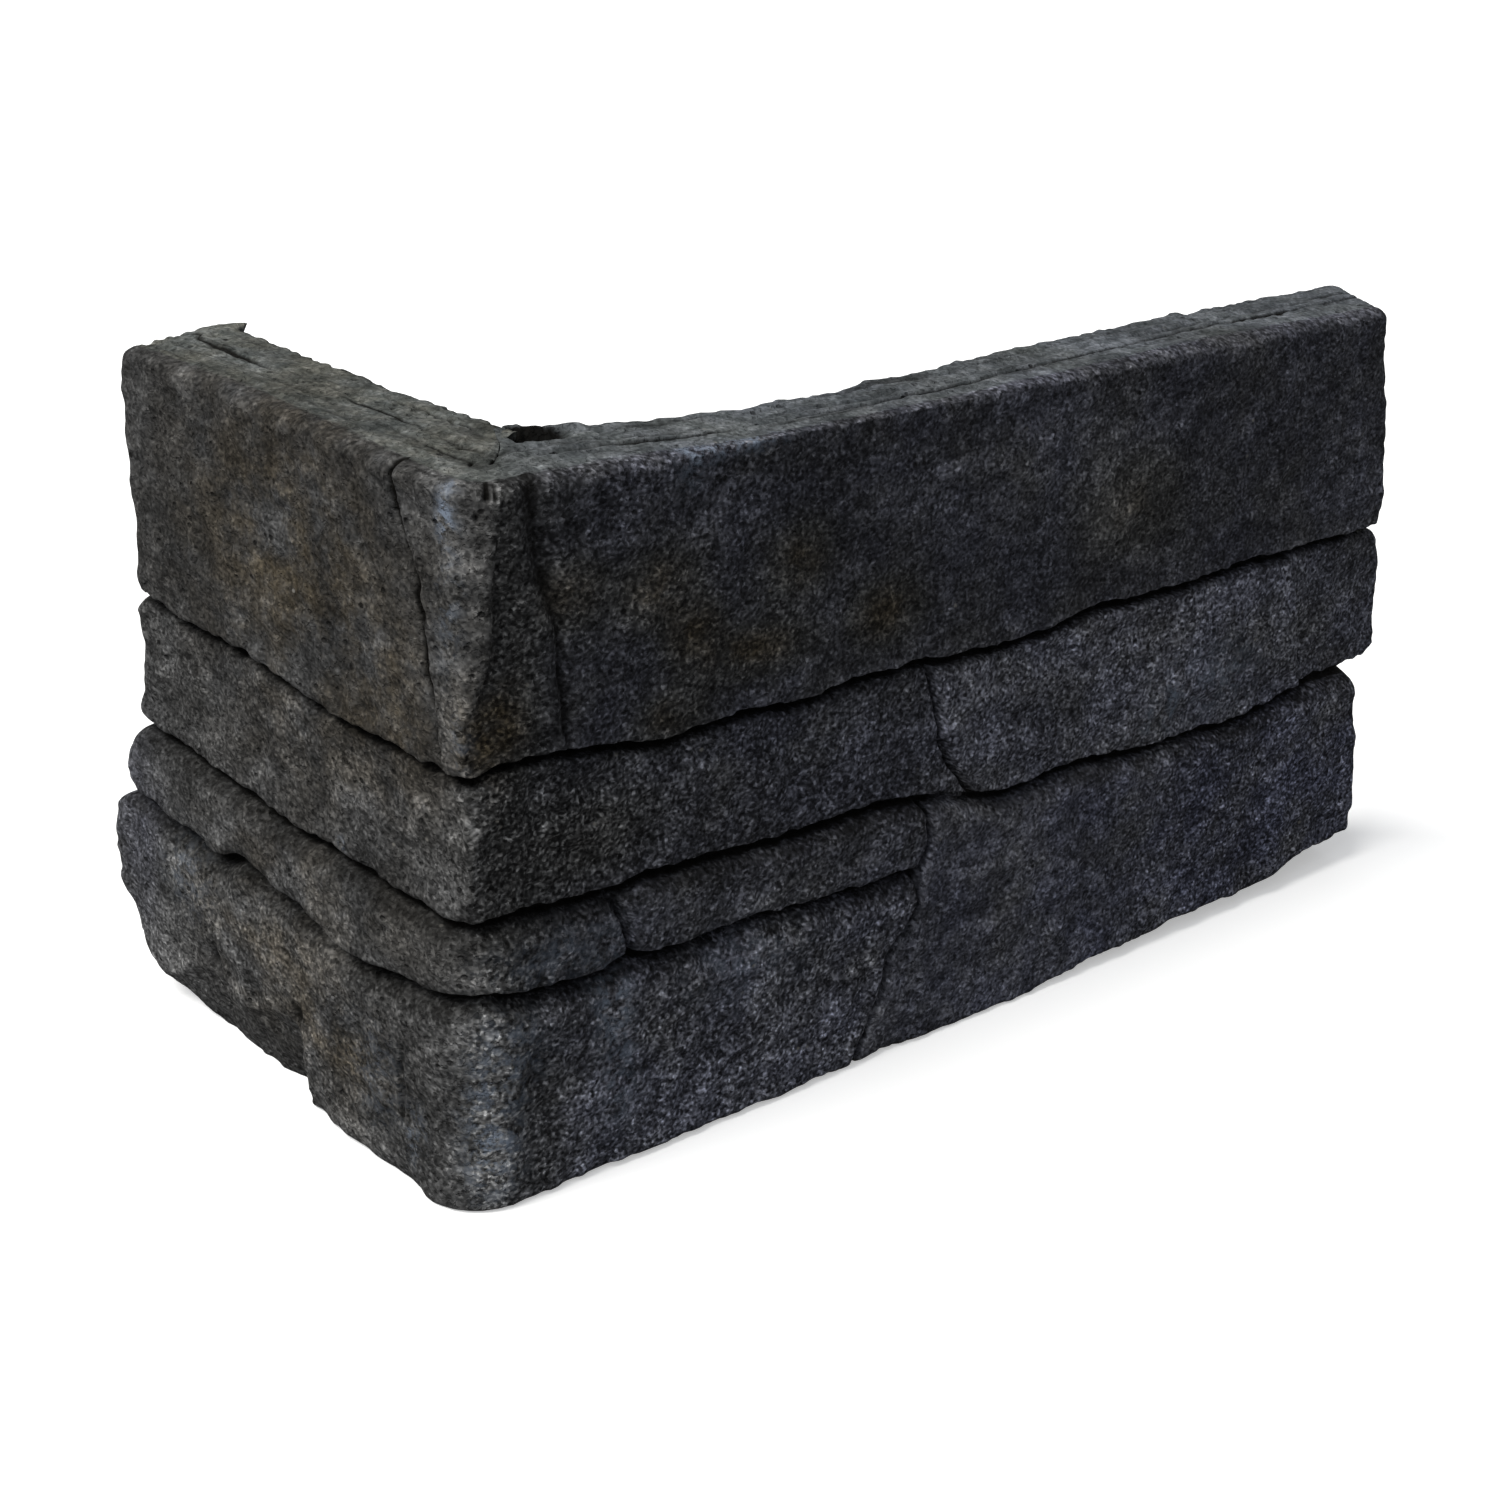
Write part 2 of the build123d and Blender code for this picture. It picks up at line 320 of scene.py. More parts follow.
along = np.tile(base, (len(level), 1))
for _ in range(4):
    stack = np.stack(levels(along))
    i = level.astype(int)[:, None]
    lower = np.take_along_axis(stack, np.broadcast_to(i, along.shape)[None], 0)[0]
    upper = np.take_along_axis(stack, np.broadcast_to(i + 1, along.shape)[None], 0)[0]
    up = (1 - share)[:, None] * (lower + above[:, None]) + share[:, None] * (upper - below[:, None])
    targets = [END_ROUND - at(SHORT_END, up), 0 * up + STILL,
               *(at(curve, up) for _, curve in COLUMN_LINES), at(LONG_END, up) - END_ROUND]
    along = base + sum(hat * (target - knot) for hat, target, knot in zip(hats, targets, knots))
print("outer grid:", along.shape, "rows by columns")

# %% [markdown]
# ## The face relief
# Each cast stone stands a little more or less proud than its neighbours. Its upper edge is
# rounded over several millimetres, and its lower edge is crisp and hangs over the joint, which
# is why the joints read as black lines with a soft shade below them. That soft shade is also
# painted into the colour. The relief is one function of the place: how many millimetres the
# surface stands out of the nominal face.

# %% The eight stones
# How proud each stands, the radii of its upper edge and of its sides (mm), how rugged its split
# face is, its tone, and how much more than elsewhere its light and dark grains differ
STONES = np.array([
    (1.5, 3.0, 1.0, 0.9, 0.88, 0.0),       # 0, the top course
    (-0.3, 1.2, 1.4, 1.2, 1.2, 0.2),       # 1, second course, round the corner
    (0.7, 1.4, 1.0, 1.1, 1.95, 0.15),      # 2, second course, middle
    (-1.4, 1.4, 0.8, 1.1, 1.45, 0.1),      # 3, second course, end
    (1.8, 5.0, 2.4, 1.0, 1.14, 0.15),      # 4, third course, round the corner
    (1.6, 4.0, 3.0, 1.0, 1.4, 0.1),        # 5, third course, beside it
    (2.3, 5.5, 2.6, 1.7, 1.27, 0.3),       # 6, bottom course, round the corner
    (1.7, 4.5, 1.6, 1.2, 1.75, 0.0)])      # 7, the tall stone past the slanted joint
STANDS, TOP_RADII, SIDE_RADII, RUGGED, TONES, CONTRASTS = STONES.T
FOOT_RADIUS = 0.6     # the crisp lower edge of every stone
NO_EDGE = 99.0        # mm to an edge that a stone doesn't have
print("stones:", len(STONES), "standing", STANDS.min(), "to", STANDS.max(), "mm proud")


# %% Stones and grooves
def stones(along, up, ragged):
    """Height of each stone's face over the grid, its number, and how deep in a joint and how dark
    each point is painted (0 to 1): soil in the joints and painted shade below them.

    A face is its proud height less the drops of its four rounded edges. The joint is 1 within
    half a joint's width of a line and falls to 0 in a short steep bank.
    """
    _, third, second, first, _ = levels(along)
    upright, end_joint, third_joint, slanted = [
        at(curve, up) + ragged for curve in (SECOND_UPRIGHT, END_UPRIGHT, THIRD_UPRIGHT, SLANTED)]
    past = along > slanted
    in_second = (up <= first) & (up > second)
    in_third = (up <= second) & (up > third) & ~past
    number = np.select([up > first, in_second & (along <= upright), in_second & (along <= end_joint),
                        in_second, in_third & (along <= third_joint), in_third, (up <= third) & ~past],
                       range(7), 7)

    # Millimetres from each stone's upper edge, foot, left side and right side
    far = np.full_like(along, NO_EDGE)
    fall, rise, near = first - up, up - second, second - up
    edges = [(far, up - first, far, far),
             (fall, rise, far, upright - along),
             (fall, rise, along - upright, end_joint - along),
             (fall, rise, along - end_joint, far),
             (near, up - third, far, third_joint - along),
             (near, up - third, along - third_joint, slanted - along),
             (third - up, far, far, slanted - along),
             (near, far, along - slanted, far)]
    height = np.choose(number, [
        stand - (roll(top - JOINT_HALF, top_radius) + roll(foot - JOINT_HALF, FOOT_RADIUS))
        - roll(left - 0.5, side) - roll(right - 0.5, side)
        for stand, top_radius, side, (top, foot, left, right) in zip(STANDS, TOP_RADII, SIDE_RADII, edges)])

    def groove(distance, half, strength=1.0):
        return strength * (1 - step(np.abs(distance), half * 0.98, half * 1.24))

    # Where mortar-like paste partly fills a course joint
    faint = 1 - 0.8 * bump(along, 131, 6) - 0.3 * bump(along, 205, 12)
    filled = 1 - 0.85 * bump(along, -46, 5) - 0.25 * bump(along, 70, 14)
    tip = 1 - 0.45 * bump(along, -14, 5)
    joint = np.maximum.reduce([
        groove(up - first, JOINT_HALF) * tip,
        groove(up - second, JOINT_HALF) * faint,
        groove(up - third, JOINT_HALF) * filled * ~past,
        in_second * groove(along - upright, 0.75, 0.55),
        in_second * groove(along - end_joint, 0.75, 0.6),
        in_third * groove(along - third_joint, 0.95, 0.5),
        (up <= second) * groove(along - slanted, 0.8, 0.7)])
    # Painted shade: a dark band painted on the stone just below each course joint, under the overhang
    shade = np.maximum.reduce([
        0.9 * bump(up - first, -1.2, 1.6),
        bump(up - second, -2.0, 3.2) * faint,
        bump(up - third, -2.2, 3.6) * filled * ~past])
    return height, number, joint, np.maximum(joint, 0.5 * shade)


# %% [markdown]
# ## Marks of the mould and of handling
# The corner of the top stone is a smooth pillar, with a crack on its left and a soft crease on
# its right. The foot of the short face has a shard knocked off, which left a slope that faces
# down. A few holes are air bubbles that burst against the mould.

# %% Marks
PILLAR_CRACK = line([
    (88, -5), (94, -7), (100, -8), (108, -9.5), (113, -11), (123, -13.5), (130, -15), (136, -18.5),
    (142, -21.5), (150, -24)])
CREASE = line([(88, 23), (95, 22), (105, 21), (115, 19.5), (127, 17), (138, 13.8), (150, 12.8)])
RIDGE = line([
    (88, -2.4), (97, -1.6), (104, -0.6), (112, 1.4), (119, 3.2), (124, 3.6), (135, 4), (150, 5.4)])
# How high the slope of the knocked-off shard reaches
CHIP = line([
    (-150, 5), (-120, 6), (-114, 8), (-106, 12), (-95, 15), (-88, 15.4), (-80, 15), (-72, 16.5),
    (-64, 19.6), (-59, 20), (-56, 17), (-50, 14), (-40, 8), (-30, 0), (0, -5), (300, -5)])
# Burst bubbles: place along the wall, height, radius and depth
HOLES = [
    (2.8, 147.6, 0.9, 3.2), (4.6, 147.4, 0.6, 2.0), (0.6, 143.6, 0.6, 1.6), (-11.0, 127.5, 0.55, 1.4),
    (-9.3, 118.4, 0.5, 1.4), (-58.7, 20.6, 2.0, 1.5), (-63, 32.6, 0.9, 1.3), (-92, 13.5, 0.8, 1.0),
    (199.6, 65.2, 0.8, 1.0), (88, 112.0, 0.7, 1.1), (61, 33.0, 0.8, 1.3), (148, 31.0, 0.7, 1.2),
    (171, 128.0, 0.6, 1.1), (-66, 121.0, 0.6, 1.1), (230, 76.0, 0.7, 1.1), (262, 28.0, 0.9, 1.4)]


def marks(along, up, spot):
    """Millimetres that the corner pillar, cracks, chips and bubbles add to or take from the face,
    and how much painted shade darkens them."""
    # The smooth pillar between its crack and its ridge, the scarp beside it, and the crease
    top = step(up, 93, 96)
    crack = at(PILLAR_CRACK, up) + 0.5 * noise(spot, 3.0, 61)
    ridge = at(RIDGE, up) + 0.6 * noise(spot, 4.5, 67)
    pillar = 0.6 * step(along, crack - 0.5, crack + 0.4) * (1 - step(along, ridge, ridge + 1.0))
    scarp = 0.9 * step(along, ridge, ridge + 0.9) * (1 - step(along, ridge + 3, ridge + 13))
    scarp = scarp * (1 - step(up, 132, 144))
    split = bump(along, crack - 0.4, 0.85) * (0.25 + 0.75 * step(up, 104, 114))
    split = split * step(noise(spot, 5.0, 65), -1.3, -0.3)
    crease = at(CREASE, up) + 0.6 * noise(spot, 5.0, 62)
    fold = bump(along, crease, 1.0 + 1.3 * step(up, 118, 135))
    lee = scarp - 0.5 * bump(along, crease - 5, 3.4)
    change = top * (pillar - 2.2 * split - 1.3 * fold - lee)
    # Painted shade: the crack beside the pillar and the crease are painted darker
    mark_shade = top * (2.3 * split * (1 - 0.6 * step(up, 142, 149)) + 0.6 * fold)

    # The slope where the shard came off, which gets deeper downwards, and the bubbles
    chip = at(CHIP, along) + 0.9 * noise(spot, 7.0, 63)
    off = step(chip - up, -0.2, 1.8) * (1 - step(along, -61.5, -55)) * step(along, -126, -118)
    change = change - (0.5 + 0.32 * np.maximum(chip - up, 0)) * off
    hollow = sum(deep * np.exp(-(((along - place) ** 2 + (up - height) ** 2) / radius ** 2) ** 1.5)
                 for place, height, radius, deep in HOLES)

    # One stone lost a thin skin along its foot, and the bottom one has a notch and a short slit
    flake = step(along, 186, 190) * (1 - step(along, 246, 249)) * (1 - step(up, 60, 63.5)) * step(up, 52, 54)
    notch = bump(along, -94 + 0.3 * (up - 20), 1.2) * bump(up, 20, 3.4)
    slit = 0.7 * bump(along, -20.5 + 0.8 * noise(spot, 4.0, 66), 0.7) * step(up, 11, 15)
    notch = notch + slit * (1 - step(up, 29, 32))
    change = change - hollow - 0.5 * flake - 1.2 * notch
    # The second result is painted shade: in the crack, crease, bubbles, notch and slit, and on the shard's
    # slope, which faces down
    return change, np.clip(mark_shade + 0.5 * hollow + 0.7 * notch + 0.25 * off, 0, 1)


# %% Relief of the outer faces
BEDDING = (0.88, 0.76, 1.0)     # lumps run along the beds: 1.1 times as long as high on x, 1.3 times on y
SOFT_FROM = 2.0     # mm proud, from where the height fills up ever more slowly, so nothing is cut off flat


def relief(along, up, spot):
    """Millimetres out of the nominal face, the stone's number, and the share of joint and of soil
    and painted shade.

    Stones and marks, plus noise: swells 35 mm across, split ridges of 14 and 6.5 mm, and sand
    lumps of 3.4 and 1.8 mm. Joint floors go to the joint's depth.
    """
    ragged = layered(spot, (0.3, 4.0, 11), (0.15, 1.9, 12))
    height, number, joint, soil_and_painted_shade = stones(along, up, ragged)
    change, mark_shade = marks(along, up, spot)
    spot = spot * BEDDING
    coarse = 1 + 1.5 * bump(along, 20, 18) * bump(up, 78, 13)
    smooth_pillar = 1 - 0.55 * bump(along, -3, 7) * step(up, 93, 97)
    split = (0.4 * ridged(spot, 14.0, 22) + 0.27 * ridged(spot, 6.5, 23)) * RUGGED[number]
    fine = layered(spot, (0.28, 3.4, 24), (0.27, 1.8, 25)) * coarse
    height = height + 0.55 * noise(spot, 35.0, 21) + split - 0.3 + fine * smooth_pillar + change
    spare = PROUD - SOFT_FROM
    height = np.where(height > SOFT_FROM, SOFT_FROM + spare * np.tanh((height - SOFT_FROM) / spare), height)
    floor = -JOINT_DEPTH + 0.5 * noise(spot, 2.0, 26)
    # Hollows between the split ridges are painted a little darker
    hollow = 0.3 * step(-(split + fine), 0.12, 0.75) * smooth_pillar
    return height * (1 - joint) + floor * joint, number, joint, np.maximum.reduce([soil_and_painted_shade, mark_shade, hollow])


bend = at(BEND, up)
place, out = outer_wall(along, bend)
spot = np.concatenate([place, up[..., None]], -1)
height, number, joint, soil_and_painted_shade = relief(along, up, spot)
print("relief from", height.min().round(2), "to", height.max().round(2), "mm")

# %% [markdown]
# ## The top and bottom edges
# The face rows stop where the edge starts to round. The rounded top edge is a quarter circle
# whose radius changes along the wall. The foot is rounded too, and where it is broken off, it
# starts some millimetres above the bed.

# %% Rounded edges
def turned_edge(row, radius, count, rising):
    """`count` rows that carry a face row round a quarter circle, from upright to level.

    At angle a the edge is radius (1 - cos a) in and radius sin a on, and the row's own relief
    fades with the angle, so that the roughness runs round the edge.
    """
    a = np.linspace(0, math.pi / 2, count + 1)[1:, None]
    edge_place, edge_out = outer_wall(along[row], bend[row])
    level_share = 1 - np.cos(a)
    stand = height[row] * np.cos(a) - radius * level_share + np.minimum(height[row], 0) * level_share
    xy = edge_place[None] + edge_out[None] * stand[..., None]
    z = up[row] + rising * radius * np.sin(a)
    spots = np.concatenate([xy, z[..., None]], -1)
    lump = layered(spots, (0.24, 3.4, 24), (0.22, 1.8, 25)) * np.sin(a)
    spots[..., 2] = np.clip(z - np.abs(lump) * rising, CLEAR, HEIGHT - CLEAR)
    return spots


top_edge = turned_edge(-1, at(TOP_ROUND, along[-1]), 7, 1)
foot_edge = turned_edge(0, np.minimum(1.6 + 1.0 * noise(spot[0], 9.0, 64), 2.4), 4, -1)
face = np.concatenate([place + out * height[..., None], up[..., None]], -1)
print("top edge from", top_edge[-1, :, 2].min().round(2), "to", top_edge[-1, :, 2].max().round(2), "mm high")

# %% [markdown]
# ## The top, the back and the bed
# The open side of the mould gives the top and the back. The top was struck off with a float,
# which left fine lines along each leg, and its back edge is ragged, with crumbs and burrs of
# slurry. The back is left rough, so that mortar grips it. The bed is flat enough to stand on.

# %% Inner edge, top and back
# How far the top's inner edge is from the outer faces, and how high it stands
BACK_TOP = line([
    (-150, 24.6), (-134, 26.4), (-98, 27), (-77, 26.4), (-60, 26.8), (-50, 27.8), (-32, 28.4), (-18, 29),
    (0, 29), (30, 27.6), (46, 24), (68, 20.6), (91, 19), (122, 20.4), (156, 22), (192, 23.2), (264, 24.4),
    (278, 24), (300, 23.6)])
BACK_HEIGHT = line([
    (-150, 149.4), (-100, 149.7), (-40, 149.8), (0, 149.8), (32, 149.9), (46, 149.6), (60, 148.6),
    (68, 148.5), (91, 148.3), (122, 148.6), (156, 149.1), (192, 149.4), (300, 149.7)])
BACK_ENDS = (-135.5, 282.5)
inner = base + hats[0] * (BACK_ENDS[0] + END_ROUND + SHORT) \
    + hats[-1] * (BACK_ENDS[1] - END_ROUND - LONG)
flat = np.stack([inner, 0 * inner, 0 * inner], -1)
ragged_edge = layered(flat, (0.5, 9.0, 71), (0.3, 3.2, 72), (0.24, 1.5, 73))
# Slurry ran over the inner edge at the corner and once along the leg, and stands up as crumbs
burr = step(inner, 15, 21) * (1 - step(inner, 42, 52)) + 0.7 * bump(inner, 222, 4)
crumbs = (0.6 + 0.7 * noise(flat, 4.0, 74) + 0.4 * noise(flat, 1.9, 79)) * burr
spur = bump(inner, -129.5, 1.8)
edge_back = at(BACK_TOP, inner) + 1.2 * ragged_edge + 1.4 * crumbs + 4.2 * spur
edge_up = at(BACK_HEIGHT, inner) + 0.35 * ragged_edge + 0.9 * crumbs + 1.2 * spur
edge_up = np.minimum(edge_up, HEIGHT - 0.03)


TOP_PITS = ((167, 11), (242, 9), (-21, 12), (-9, 8))     # along the wall, and in from the outer edge


def struck_top(outer_edge, count):
    """Rows across the top, straight from the outer edge to the inner one, with the float's marks.

    The marks are noise drawn out 20 times along the leg, and three long scores that come and go.
    Near the corner a crack crosses the top, and a ragged trench lies along the inner edge. All of
    it fades out at the two edges.
    """
    share = np.linspace(0, 1, count + 1)[1:, None]
    back = np.concatenate([inner_wall(inner, edge_back), edge_up[:, None]], -1)
    rows = outer_edge[None] * (1 - share[..., None]) + back[None] * share[..., None]
    across = share * THICK + 0 * inner
    drawn = np.stack([inner + 0 * share, across * 20, 0 * across], -1)
    float_marks = 0.36 * noise(drawn, 26.0, 75) + 0.12 * noise(rows, 1.8, 76) + 0.16 * noise(rows, 5.0, 77)
    line_at = 8.2 + 2.2 * step(inner, 150, 250) + 0.5 * noise(flat, 30.0, 78)
    broken = step(noise(drawn, 18.0, 85), -0.5, 0.2)
    scores = 1.25 * bump(across, line_at, 0.6) * (0.35 + 0.65 * step(inner, 14, 30))
    scores = scores * step(np.abs(inner), 8, 16) * (0.4 + 0.6 * broken)
    scores = scores + 0.6 * bump(across, line_at + 4.6, 0.6) * broken
    scores = scores + 0.7 * bump(across, 19.6, 0.7) * (1 - broken)
    crack = bump(inner, 4 + 0.9 * (across - 11), 1.0) * step(across, 8, 10) * (1 - step(across, 19, 22))
    pits = sum(bump(inner, a, 1.1) * bump(across, b, 0.9) for a, b in TOP_PITS)
    lip = layered(flat, (1.3, 3.4, 86), (0.8, 1.5, 89))
    cavity = step(inner, 18, 23) * (1 - step(inner, 31, 42)) * step(lip, -1.7, -0.6)
    dip = 0.9 * burr * step(across, 12, 19) * (1 - step(across, 21.5, 22.5))
    trench = cavity * step(across, 13.5, 20 + lip) * (1 - step(across, 21.2 + lip, 22.2 + lip))
    lumps = burr * step(across, 21.8, 22.8) * (0.35 + 0.7 * noise(rows, 2.4, 87))
    fade = step(share, 0, 0.06) * (1 - step(share, 0.94, 1.0))
    change = float_marks - 0.9 * scores - 1.1 * crack - 1.8 * pits - 2.8 * trench - dip
    rows[..., 2] += change * fade - lumps
    rows[..., 2] = np.minimum(rows[..., 2], HEIGHT - CLEAR)
    streaks = 0.4 * step(noise(drawn, 30.0, 88), 0.35, 0.7)
    hollow = cavity * bump(across, 20.9 + lip, 1.6)
    # The second result darkens the colour: painted shade in the scores, crack, pits and trench, and darker
    # streaks
    return rows, np.clip(0.9 * scores + crack + pits + streaks + 1.6 * hollow, 0, 1) * fade


def rough_back(count):
    """Rows down the back, from the inner top edge to the bed, hollowed by up to 1.5 mm of noise."""
    share = np.linspace(0, 1, count + 1)[1:, None]
    z = edge_up * (1 - share) + 0.4 * share
    spots = np.concatenate([inner_wall(inner + 0 * share, np.full_like(z, THICK)), z[..., None]], -1)
    hollow = 0.75 + 0.4 * noise(spots, 22.0, 81) + 0.3 * noise(spots, 7.0, 82) + 0.24 * noise(spots, 2.8, 83)
    from_top = step(share * HEIGHT, 0, 9)
    back = edge_back * (1 - from_top) + (THICK - np.maximum(hollow, 0)) * from_top
    back = back - 0.9 * roll((1 - share) * HEIGHT, 2.0)
    spots[..., :2] = inner_wall(inner + 0 * share, back)
    return spots


top_rows, top_soil_and_painted_shade = struck_top(top_edge[-1], 38)
back_rows = rough_back(74)
print("back stands between", back_rows[..., 1].min().round(2), "and", back_rows[..., 1].max().round(2), "mm")

# %% The bed
def bed(outer_edge, count):
    """Rows under the piece, from the back to the outer foot. A broken foot slopes up to its edge."""
    share = np.linspace(1, 0, count + 1)[1:-1, None]      # 1 at the back, 0 at the outer foot
    rows = outer_edge[None] * (1 - share[..., None]) + back_rows[-1][None] * share[..., None]
    lift = outer_edge[:, 2] * (1 - step(share, 0, 0.55)) + 0.25 * step(share, 0, 0.2)
    rows[..., 2] = np.maximum(lift + 0.22 * noise(rows, 6.0, 84), 0.0) * (1 - step(share, 0.8, 1)) \
        + back_rows[-1][None, :, 2] * step(share, 0.8, 1)
    return rows


bed_rows = bed(foot_edge[-1], 16)
rows = [foot_edge[::-1], face, top_edge, top_rows, back_rows, bed_rows]
loop = np.concatenate(rows)
print("one section has", len(loop), "points, and there are", loop.shape[1], "sections")

# %% [markdown]
# ## Closing the ends
# The section is now a tube along the L, open at its two ends. Each end is closed by rings: the
# last section drawn in towards its own middle line, while it moves out by the rounded edge. A
# last flat face fills the slit that is left, so the mesh is watertight.

# %% End rings
RING_REACH = 12.0     # mm from the edge to the middle line, as the rings count it
RING_STEPS = (0.15, 0.45, 0.9, 1.5, 2.2, 3.0, 4.0, 5.2, 6.5, 8.0, 9.5, 11.0, 11.7)


def end_rings(section, outward, finish, seed):
    """Rings from the last section to its middle line, for an end that faces along `outward`.

    A ring m mm in from the edge takes m over the reach of the way to the middle line and stands
    out by the rounded edge's height there. The middle lies halfway to `finish` mm, so that the
    steps between the courses even out.
    """
    axis = int(np.argmax(np.abs(outward[:2])))
    middle = section.copy()
    middle[:, 1 - axis] = THICK / 2
    middle[:, 2] = np.clip(section[:, 2], 14, HEIGHT - 14)
    middle[:, axis] = 0.5 * (section[:, axis] + finish)
    rings = []
    for m in RING_STEPS:
        ring = section + (middle - section) * (m / RING_REACH)
        rough = layered(ring, (0.45, 8.0, seed), (0.25, 3.2, seed + 1), (0.15, 1.7, seed + 2))
        ring[:, axis] += END_ROUND - roll(m, END_ROUND) + (rough - 0.35) * step(m, 0.5, 4.0)
        rings.append(ring)
    return rings


long_rings = end_rings(loop[:, -1], np.array([1.0, 0.0]), BACK_ENDS[1] - END_ROUND, 91)
short_rings = end_rings(loop[:, 0], np.array([0.0, 1.0]), -BACK_ENDS[0] - END_ROUND, 95)
tube = np.stack([*short_rings[::-1], *(loop[:, c] for c in range(loop.shape[1])), *long_rings])
print("tube:", tube.shape)

# %% [markdown]
# ## Into a mesh
# The tube's points become vertices and its cells become quads. Every quad has the same winding,
# so all faces look the same way. Masks for the finish are stored per vertex: how dark with soil
# and painted shade, how pale with wear and painted light, and how bloomed a point is, whether it
# belongs to the struck top, and its tone with painted light, contrast and tint.

# %% Masks
def mask(face_value, top_value, other=0.0):
    """One number per vertex of a section loop, for the face, the top rows and the rest."""
    parts = []
    for part in rows:
        if part is face:
            parts.append(face_value)
        elif part is top_rows:
            parts.append(np.broadcast_to(top_value, part.shape[:2]))
        elif part is top_edge:
            parts.append(np.broadcast_to(face_value[-1], part.shape[:2]))
        else:
            parts.append(np.full(part.shape[:2], other))
    values = np.concatenate(parts).T
    ends = len(short_rings)
    return np.concatenate([np.repeat(values[:1], ends, 0), values, np.repeat(values[-1:], ends, 0)]).ravel()


def spots_of(spots):
    """The sum of soft spots on the outer faces, each (along, up, half width, half height, strength)."""
    return sum(power * bump(along, a, wa) * bump(up, b, wb) for a, b, wa, wb, power in spots)


# Lime bloom, where water carried lime out of the concrete
bloom = spots_of([
    (33, 40, 4, 9, 1.0), (35, 22, 3.5, 11, 0.9), (4, 22, 5, 14, 0.8), (10, 34, 6, 8, 0.6),
    (-6, 143, 2.0, 3.4, 2.2), (-5, 128, 3, 12, 0.4), (-2, 100, 2, 5, 0.5), (-45, 63.5, 1, 1.6, 1.0),
    (-16, 12, 3, 5, 0.6), (5, 12, 5, 7, 0.7), (201, 63, 1.6, 6, 1.2), (193, 60, 2, 3, 0.7),
    (54, 148.6, 4, 2, 1.5), (65, 148.4, 8, 1.8, 1.3), (50, 146, 3, 4, 0.6), (-30, 20, 8, 10, 0.3),
    (68, 36, 14, 8, 0.35), (215, 66, 16, 8, 0.5), (-104, 36, 9, 8, 0.35), (20, 52, 14, 5, 0.4)])
ridge_line = at(RIDGE, up) * (up > 91)
# Each stone's own tone, with darker and paler patches, as a factor on its colour. Painted light
# also makes the long leg lighter, and most its bottom stone, which stands for light from below
tone_and_painted_light = TONES[number] + 0.1 * (along < 0) * (up > 92)
tone_and_painted_light = tone_and_painted_light + (0.4 * (number == 6) + 0.12 * (number == 1)) * (along > 0)
tone_and_painted_light = tone_and_painted_light - 0.4 * (number == 7) * step(along, 165, 225)
tone_and_painted_light = tone_and_painted_light + spots_of([
    (18, 78, 20, 14, -0.4), (0, 30, 8, 30, 0.05), (222, 64, 28, 12, 0.2), (150, 122, 34, 18, 0.42),
    (-95, 120, 14, 26, -0.06), (100, 50, 40, 8, 0.06), (10, 118, 6, 26, -0.2), (-22, 26, 13, 22, -0.5),
    (-7, 142, 5, 8, 0.3), (-4, 100, 4, 30, 0.15), (13, 27, 5, 9, -0.6), (23, 33, 4, 9, -0.5),
    (60, 18, 9, 6, -0.3), (84, 30, 7, 8, -0.3)])
tone_and_painted_light = tone_and_painted_light * (1 + 0.14 * (along > 0)) + 0.08 * (number == 4)
# A painted highlight: a pale rim on the top stone's crisp lower edge, just above the first joint
tone_and_painted_light = tone_and_painted_light * (1 + 0.6 * bump(up, 1.8 + at(FIRST, along), 0.7) * (along > -6))
# How strongly light and dark grains differ: split faces most, the smooth top stone's short face
# least. The long leg's stronger contrast is partly painted light: its relief's shading under grazing light
contrast = np.where(along > ridge_line, 1.15, 0.6) + CONTRASTS[number]
contrast = contrast + spots_of([(18, 78, 26, 14, 0.4), (-3, 120, 5, 40, 0.15), (9, 118, 6, 24, 0.3)])
contrast = contrast + (number == 7) * (0.5 * step(along, 165, 225) - 0.18)
contrast = contrast - 0.18 * (number == 0) * step(along, 50, 130)
# From 0, brown, to 1, blue: brown clouds on the top stone, blue towards the foot of the long leg
tint = 0.5 + 0.2 * step(along, 3, 30) + 0.14 * step(along, 60, 240) * (1 - step(up, 40, 62)) \
    + spots_of([
        (-62, 122, 42, 30, -0.45), (-25, 100, 18, 16, -0.3), (23, 126, 7, 6, -0.5), (43, 123, 9, 7, -0.6),
        (52, 112, 7, 6, -0.6), (67, 105, 13, 5, -0.65), (79, 122, 8, 7, -0.55), (104, 106, 10, 7, -0.6),
        (5, 102, 6, 9, -0.6), (47, 96, 8, 5, -0.5), (180, 116, 16, 12, -0.4), (30, 74, 16, 12, -0.25),
        (-70, 30, 30, 18, -0.25), (-50, 54, 40, 8, -0.15), (-128, 40, 12, 24, 0.2),
        (-60, 78, 40, 12, -0.12), (-40, 20, 16, 12, -0.3)])
